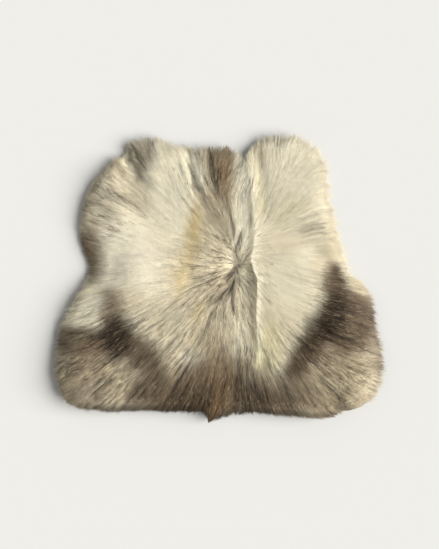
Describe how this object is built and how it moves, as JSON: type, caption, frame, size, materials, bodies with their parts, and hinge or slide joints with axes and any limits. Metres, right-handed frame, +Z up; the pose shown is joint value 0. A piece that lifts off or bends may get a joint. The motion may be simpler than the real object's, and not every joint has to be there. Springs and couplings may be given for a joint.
{
  "type": "folded reindeer hide",
  "caption": "Whole tanned reindeer hide with its hair on, folded once across with the hair outside, lying flat.",
  "frame": {"origin": "middle of the hide's box, on the surface that it lies on", "axes": "+X across the hide along its fold, +Y from the fold to the lobed free end, +Z up from the surface"},
  "size_m": [0.8958, 0.7664, 0.082],
  "materials": {
    "hair": "dense matte hair, cream to dark brown",
    "skin": "soft suede-like tanned flesh side"
  },
  "bodies": {
    "root": {"hide": "hair"}
  },
  "joints": []
}
